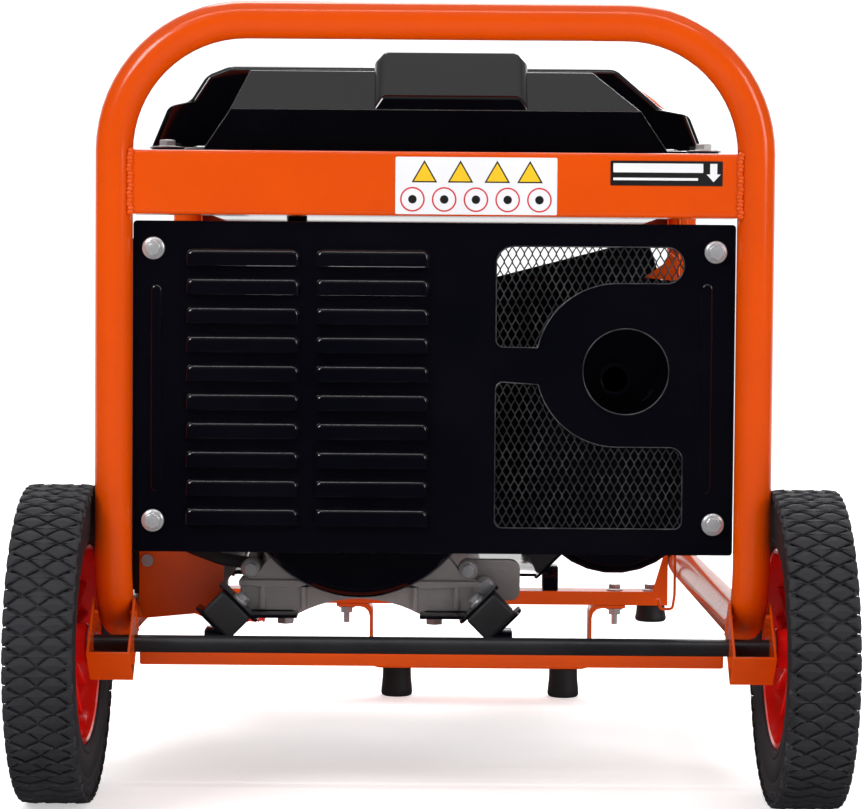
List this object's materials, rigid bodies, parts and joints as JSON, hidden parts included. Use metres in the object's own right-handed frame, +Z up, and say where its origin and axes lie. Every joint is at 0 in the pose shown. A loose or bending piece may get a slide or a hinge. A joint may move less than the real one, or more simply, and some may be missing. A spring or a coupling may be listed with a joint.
{
  "type": "portable generator",
  "caption": "Petrol generator in a tubular steel frame, with wheels at the alternator end, a rubber-footed stand at the engine end, a louvred guard and a top fuel tank.",
  "frame": {"origin": "on the floor, under the middle of the overall box", "axes": "+Z up, +Y from the wheel end to the engine end, +X to the right seen from the wheel end"},
  "size_m": [0.649, 0.771, 0.642],
  "materials": {
    "orange_paint": "gloss powder coat",
    "black_paint": "gloss black",
    "rim_red": "gloss red",
    "zinc": "zinc plated",
    "casting": "sand cast",
    "iron": "machined",
    "dark_steel": "black oxide",
    "tyre": "moulded tread",
    "rubber": "moulded",
    "red_rubber": "soft grip",
    "plastic": "fine moulded grain",
    "red_plastic": "moulded"
  },
  "bodies": {
    "root": {"near_hoop": "orange_paint", "far_hoop": "orange_paint", "near_cross_panel": "orange_paint", "far_cross_panel": "orange_paint", "tank_rail_left": "orange_paint", "tank_rail_right": "orange_paint", "near_base_rail": "orange_paint", "far_base_rail": "orange_paint", "axle_bracket_left": "orange_paint", "axle_bracket_right": "orange_paint", "axle": "dark_steel", "end_panel": "black_paint", "panel_mesh": "black_paint", "panel_bolt_upper_left": "zinc", "panel_bolt_upper_right": "zinc", "panel_bolt_lower_left": "zinc", "panel_bolt_lower_right": "zinc", "stand": "orange_paint", "stand_foot_left": "rubber", "stand_foot_right": "rubber", "frame_foot": "rubber", "engine_mount_near_left": "rubber", "engine_mount_near_right": "rubber", "engine_mount_far_left": "rubber", "engine_mount_far_right": "rubber", "alternator_cover": "black_paint", "end_bracket": "casting", "alternator_housing": "black_paint", "crankcase": "casting", "cylinder": "casting", "cylinder_head": "casting", "spark_plug": "plastic", "fan_housing": "black_paint", "recoil_cover": "black_paint", "muffler": "black_paint", "exhaust_pipe": "dark_steel", "carburettor": "casting", "air_cleaner": "plastic", "fuel_tank": "black_paint", "control_box": "orange_paint", "control_panel": "black_paint", "socket_near": "plastic", "socket_far": "plastic"},
    "wheel_left": {"tyre_left": "tyre", "rim_left": "rim_red"},
    "wheel_right": {"tyre_right": "tyre", "rim_right": "rim_red"},
    "crank_train": {"rotor": "dark_steel", "flywheel": "iron"},
    "fuel_cap": {"fuel_cap": "plastic"},
    "fuel_tap_lever": {"fuel_tap_lever": "plastic"},
    "choke_lever": {"choke_lever": "plastic"},
    "engine_switch": {"engine_switch": "red_plastic"},
    "breaker_button": {"breaker_button": "plastic"},
    "socket_lid_near": {"socket_lid_near": "plastic"},
    "socket_lid_far": {"socket_lid_far": "plastic"},
    "oil_cap": {"oil_cap": "plastic"},
    "recoil_handle": {"recoil_handle": "plastic"},
    "handle": {"fold_handle": "black_paint", "handle_grip": "red_rubber"}
  },
  "joints": [
    {"name": "wheel_left_spin", "type": "hinge", "parent": "root", "child": "wheel_left", "pos_m": [-0.2985, -0.2585, 0.127], "axis": [1, 0, 0], "continuous": true},
    {"name": "wheel_right_spin", "type": "hinge", "parent": "root", "child": "wheel_right", "pos_m": [0.2985, -0.2585, 0.127], "axis": [1, 0, 0], "continuous": true},
    {"name": "crank_spin", "type": "hinge", "parent": "root", "child": "crank_train", "pos_m": [-0.06, 0, 0.26], "axis": [0, 1, 0], "continuous": true},
    {"name": "fuel_cap_turn", "type": "hinge", "parent": "root", "child": "fuel_cap", "pos_m": [0.012, 0.0765, 0.6003], "axis": [0, 0, 1], "range_deg": [0, 90]},
    {"name": "fuel_tap_turn", "type": "hinge", "parent": "root", "child": "fuel_tap_lever", "pos_m": [-0.12, -0.0928, 0.464], "axis": [0, 1, 0], "range_deg": [0, 90]},
    {"name": "choke_turn", "type": "hinge", "parent": "root", "child": "choke_lever", "pos_m": [0.15109, 0.1414, 0.34664], "axis": [1, 0, 0], "range_deg": [0, 50]},
    {"name": "engine_switch_turn", "type": "hinge", "parent": "root", "child": "engine_switch", "pos_m": [-0.2538, 0.0585, 0.372], "axis": [1, 0, 0], "range_deg": [0, 60]},
    {"name": "breaker_push", "type": "slide", "parent": "root", "child": "breaker_button", "axis": [1, 0, 0], "range_m": [0, 0.003], "stiffness_N_per_m": 400},
    {"name": "socket_lid_near_open", "type": "hinge", "parent": "root", "child": "socket_lid_near", "pos_m": [-0.2626, -0.1065, 0.2545], "axis": [0, 1, 0], "range_deg": [0, 110], "stiffness_Nm_per_rad": 0.01},
    {"name": "socket_lid_far_open", "type": "hinge", "parent": "root", "child": "socket_lid_far", "pos_m": [-0.2626, -0.0265, 0.2545], "axis": [0, 1, 0], "range_deg": [0, 110], "stiffness_Nm_per_rad": 0.01},
    {"name": "oil_cap_turn", "type": "hinge", "parent": "root", "child": "oil_cap", "pos_m": [0.044, 0.0924, 0.19], "axis": [1, 0, 0], "range_deg": [0, 360]},
    {"name": "recoil_pull", "type": "slide", "parent": "root", "child": "recoil_handle", "axis": [0, 1, 0], "range_m": [0, 0.5], "stiffness_N_per_m": 30},
    {"name": "fold_handle_lift", "type": "hinge", "parent": "root", "child": "handle", "pos_m": [-0.262, 0.3705, 0.46], "axis": [1, 0, 0], "range_deg": [0, 90]}
  ]
}
